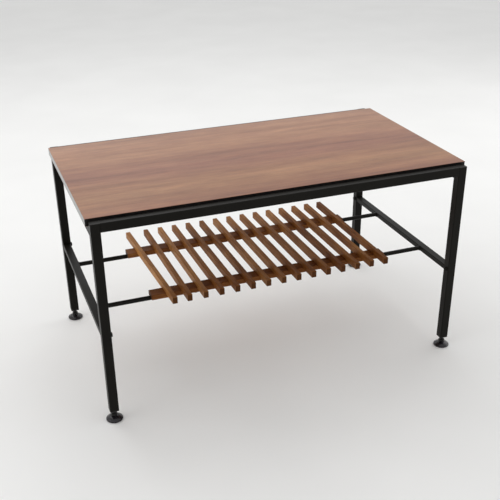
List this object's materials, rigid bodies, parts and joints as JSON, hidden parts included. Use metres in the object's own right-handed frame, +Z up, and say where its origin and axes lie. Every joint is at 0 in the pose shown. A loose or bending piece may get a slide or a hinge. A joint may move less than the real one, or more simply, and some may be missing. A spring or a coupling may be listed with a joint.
{
  "type": "coffee table",
  "caption": "Low rectangular coffee table with a veneered top, a black square-tube frame, a slatted magazine rack on two rods and screw-adjustable round feet.",
  "frame": {"origin": "on the floor under the middle of the frame, feet at their rest height", "axes": "+Z up, +X to the right along the length seen from the front, +Y from the front to the back"},
  "size_m": [0.861, 0.509, 0.4734],
  "materials": {
    "top_wood": "satin lacquered veneer, fine grain along the length",
    "underside_wood": "plain balancing veneer, matt",
    "board_core": "raw particle board",
    "rack_wood": "oiled wood, warmer and darker than the top",
    "black_edge": "glossy black",
    "black_paint": "black satin paint",
    "clip_steel": "black paint",
    "screw_steel": "zinc plated",
    "bolt_steel": "black paint over steel",
    "stem_steel": "dark zinc plated",
    "plug_plastic": "matt black",
    "disc_plastic": "glossy black"
  },
  "bodies": {
    "table": {"back_batten": "rack_wood", "back_rack_rod": "black_paint", "back_rail": "black_paint", "clip_screws": "screw_steel", "edge_band_back": "black_edge", "edge_band_front": "black_edge", "edge_band_left": "black_edge", "edge_band_right": "black_edge", "front_batten": "rack_wood", "front_rack_rod": "black_paint", "front_rail": "black_paint", "left_end_rail": "black_paint", "left_stretcher": "black_paint", "leg_back_left": "black_paint", "leg_back_right": "black_paint", "leg_front_left": "black_paint", "leg_front_right": "black_paint", "leg_plug_back_left": "plug_plastic", "leg_plug_back_right": "plug_plastic", "leg_plug_front_left": "plug_plastic", "leg_plug_front_right": "plug_plastic", "rack_clip_back_left": "clip_steel", "rack_clip_back_right": "clip_steel", "rack_clip_front_left": "clip_steel", "rack_clip_front_right": "clip_steel", "right_end_rail": "black_paint", "right_stretcher": "black_paint", "rod_welds": "black_paint", "slat_01": "rack_wood", "slat_02": "rack_wood", "slat_03": "rack_wood", "slat_04": "rack_wood", "slat_05": "rack_wood", "slat_06": "rack_wood", "slat_07": "rack_wood", "slat_08": "rack_wood", "slat_09": "rack_wood", "slat_10": "rack_wood", "slat_11": "rack_wood", "slat_12": "rack_wood", "slat_13": "rack_wood", "slat_14": "rack_wood", "slat_15": "rack_wood", "slat_pins": "screw_steel", "stretcher_bolts": "bolt_steel", "top_core": "board_core", "top_screws": "screw_steel", "top_veneer": "top_wood", "underside_veneer": "underside_wood"},
    "foot_front_left_disc": {"foot_disc_front_left": "disc_plastic"},
    "foot_front_left_stem": {"foot_stem_front_left": "stem_steel"},
    "foot_front_right_disc": {"foot_disc_front_right": "disc_plastic"},
    "foot_front_right_stem": {"foot_stem_front_right": "stem_steel"},
    "foot_back_left_disc": {"foot_disc_back_left": "disc_plastic"},
    "foot_back_left_stem": {"foot_stem_back_left": "stem_steel"},
    "foot_back_right_disc": {"foot_disc_back_right": "disc_plastic"},
    "foot_back_right_stem": {"foot_stem_back_right": "stem_steel"}
  },
  "joints": [
    {"name": "foot_front_left_height", "type": "slide", "parent": "table", "child": "foot_front_left_disc", "axis": [0, 0, 1], "range_m": [-0.01, 0.008]},
    {"name": "foot_front_left_turn", "type": "hinge", "parent": "foot_front_left_disc", "child": "foot_front_left_stem", "pos_m": [-0.412, -0.236, 0.0056], "axis": [0, 0, 1], "range_deg": [-2881, 2305]},
    {"name": "foot_front_right_height", "type": "slide", "parent": "table", "child": "foot_front_right_disc", "axis": [0, 0, 1], "range_m": [-0.01, 0.008]},
    {"name": "foot_front_right_turn", "type": "hinge", "parent": "foot_front_right_disc", "child": "foot_front_right_stem", "pos_m": [0.412, -0.236, 0.0056], "axis": [0, 0, 1], "range_deg": [-2881, 2305]},
    {"name": "foot_back_left_height", "type": "slide", "parent": "table", "child": "foot_back_left_disc", "axis": [0, 0, 1], "range_m": [-0.01, 0.008]},
    {"name": "foot_back_left_turn", "type": "hinge", "parent": "foot_back_left_disc", "child": "foot_back_left_stem", "pos_m": [-0.412, 0.236, 0.0056], "axis": [0, 0, 1], "range_deg": [-2881, 2305]},
    {"name": "foot_back_right_height", "type": "slide", "parent": "table", "child": "foot_back_right_disc", "axis": [0, 0, 1], "range_m": [-0.01, 0.008]},
    {"name": "foot_back_right_turn", "type": "hinge", "parent": "foot_back_right_disc", "child": "foot_back_right_stem", "pos_m": [0.412, 0.236, 0.0056], "axis": [0, 0, 1], "range_deg": [-2881, 2305]}
  ],
  "couplings": [
    {"joint": "foot_front_left_turn", "follows": "foot_front_left_height", "rad_per_m": 5026.5},
    {"joint": "foot_front_right_turn", "follows": "foot_front_right_height", "rad_per_m": 5026.5},
    {"joint": "foot_back_left_turn", "follows": "foot_back_left_height", "rad_per_m": 5026.5},
    {"joint": "foot_back_right_turn", "follows": "foot_back_right_height", "rad_per_m": 5026.5}
  ]
}
